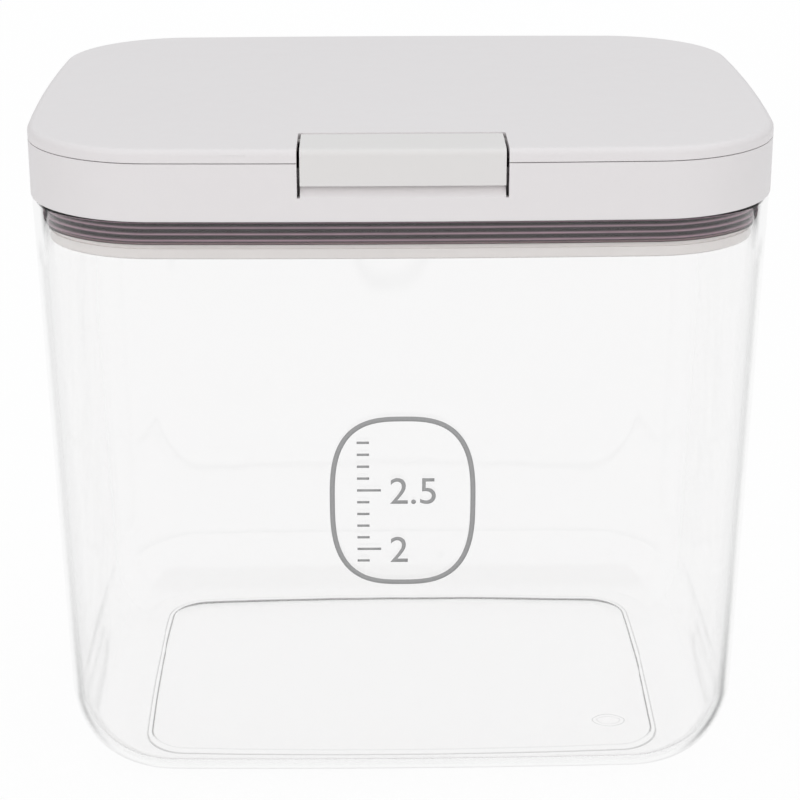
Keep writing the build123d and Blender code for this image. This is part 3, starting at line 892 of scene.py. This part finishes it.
numbers = [
    ("%g" % (t / 10), (levelScale["numberX"], tenthHeight(t) - levelScale["numberDrop"], 0.0))
    for t in tenths if hasNumber(t)
]
scalePiece = grow("levelScale", tickMesh(), scaleTree(printedInk("printedInk", inkFinish), numbers), {
    "Half width": levelScale["halfX"], "Half height": levelScale["halfZ"], "Power": levelScale["power"],
    "Line": levelScale["line"], "Film": levelScale["film"], "Tick line": levelScale["tickLine"],
    "Number size": levelScale["numberSize"],
})
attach(scalePiece, "container")
print("level scale:", len(scalePiece.data.polygons), "faces")


# Carried-over shells and small parts get their finish in the slots they already have

def dress(material, *names):
    for name in names:
        mesh = nodes[name].data
        if not mesh.materials:
            mesh.materials.append(material)
        for k in range(len(mesh.materials)):
            mesh.materials[k] = material


shellFinish = {
    "colour": (0.765, 0.735, 0.740, 1.0),
    "shade": (0.740, 0.708, 0.714, 1.0),
    "grain": 5200.0,
    "roughness": 0.36,
}
# The latch is the lid's white plastic, made a little darker as painted shade
shadedLatchFinish = {
    "colour": (0.735, 0.714, 0.706, 1.0),
    "shade": (0.712, 0.690, 0.682, 1.0),
    "grain": 5600.0,
    "roughness": 0.38,
}
# The plate is the lid's white plastic, lighter as painted light against the shade under the lid, with a warm
# tint that is a painted reflection of the gasket
litPlateFinish = {
    "colour": (0.97, 0.930, 0.910, 1.0),
    "shade": (0.94, 0.897, 0.876, 1.0),
    "grain": 4200.0,
    "roughness": 0.42,
}
nylonFinish = {
    "colour": (0.72, 0.715, 0.68, 1.0),
    "shade": (0.68, 0.67, 0.62, 1.0),
    "grain": 3000.0,
    "roughness": 0.48,
}

liftCaps = [n for n in nodes if n.startswith("lift_cap_")]
dress(mouldedPlastic("whiteShell", shellFinish), "lid_base", "lid_cover")
dress(mouldedPlastic("shadedLatchShell", shadedLatchFinish), "latch_lever")
dress(mouldedPlastic("litPlateShell", litPlateFinish), "pressure_plate")
dress(mouldedPlastic("naturalNylon", nylonFinish), "drive_slider", *liftCaps)
dress(steel, "latch_pin", "cap_screws", "cover_screws")
print("shells and small parts dressed")


# Floor, light and camera

studio = {
    "middle": (0.0, 0.0, 0.10),
    "ambient": 0.55,
    "floorSize": 24.0,
    "floorColour": (0.90, 0.90, 0.90, 1.0),
    "floorShown": 0.95,
    "floorDrop": 0.0002,
    "lamps": {
        "top": {"at": (0.15, -0.05, 1.70), "size": 1.6, "power": 8.9, "colour": (0.91, 0.98, 1.0)},
        "frontLeft": {"at": (-1.15, -1.35, 0.95), "size": 1.2, "power": 9.5, "colour": (1.0, 1.0, 1.0)},
        "frontRight": {"at": (1.25, -1.15, 0.80), "size": 1.2, "power": 6.0, "colour": (1.0, 1.0, 1.0)},
        "back": {"at": (0.0, 1.7, 0.90), "size": 1.4, "power": 7.0, "colour": (0.97, 0.99, 1.0)},
    },
}


# 1 for a ray that shows the surroundings, seen straight or through clear plastic
def shownRay(wire):
    path = wire.node("ShaderNodeLightPath")
    return largest(path.pick("Is Camera Ray"), path.pick("Is Transmission Ray"))


# Turn that points a camera or a lamp from one place at another
def aimed(at, aim):
    return (Vector(aim) - Vector(at)).to_track_quat("-Z", "Y").to_euler()


def makeStudio():
    world = bpy.data.worlds.new("studio")
    scene.world = world
    world.use_nodes = True
    world.node_tree.nodes.clear()
    start = Wire(world.node_tree)
    strength = studio["ambient"] + shownRay(start) * (1.0 - studio["ambient"])
    sky = start.node("ShaderNodeBackground", inputs={"Color": (1, 1, 1, 1), "Strength": strength})
    start.node("ShaderNodeOutputWorld", inputs={"Surface": sky})

    half = studio["floorSize"] / 2
    data = bpy.data.meshes.new("paleFloor")
    corners = [(-half, -half, 0), (half, -half, 0), (half, half, 0), (-half, half, 0)]
    data.from_pydata(corners, [], [(0, 1, 2, 3)])
    floor = addPiece("paleFloor", data)
    material, place = startFinish("palePaper")
    lit = place.node("ShaderNodeBsdfDiffuse", inputs={"Color": studio["floorColour"]})
    white = place.node("ShaderNodeEmission", inputs={"Color": (1, 1, 1, 1), "Strength": 1.0})
    share = shownRay(place) * studio["floorShown"]
    paper = place.node("ShaderNodeMixShader", inputs={0: share, 1: lit, 2: white})
    data.materials.append(endFinish(material, paper))
    floor.location.z = -studio["floorDrop"]

    for name, look in studio["lamps"].items():
        lamp = bpy.data.lights.new(name, "AREA")
        lamp.shape = "SQUARE"
        lamp.size = look["size"]
        lamp.energy = look["power"]
        lamp.color = look["colour"]
        holder = addPiece(name, lamp)
        holder.location = look["at"]
        holder.rotation_euler = aimed(look["at"], studio["middle"])
        holder.visible_camera = False
        holder.visible_glossy = False
        holder.visible_transmission = False


camera = {
    "at": (-0.008811, -0.647096, 0.331716),
    "aim": (0.000195, 0.0, 0.104701),
    "roll": -0.11,
    "sensor": 36.0,
    "lens": 100.53,
    "shiftY": -0.0393,
    "clip": (0.01, 60.0),
}


def makeCamera():
    data = bpy.data.cameras.new("photoCamera")
    data.sensor_width = camera["sensor"]
    data.lens = camera["lens"]
    data.shift_y = camera["shiftY"]
    data.clip_start, data.clip_end = camera["clip"]
    holder = addPiece("photoCamera", data)
    holder.location = camera["at"]
    turn = aimed(camera["at"], camera["aim"])
    turn.rotate_axis("Z", math.radians(camera["roll"]))
    holder.rotation_euler = turn
    scene.camera = holder


makeStudio()
makeCamera()
scene.view_settings.view_transform = "Standard"
print("studio ready")
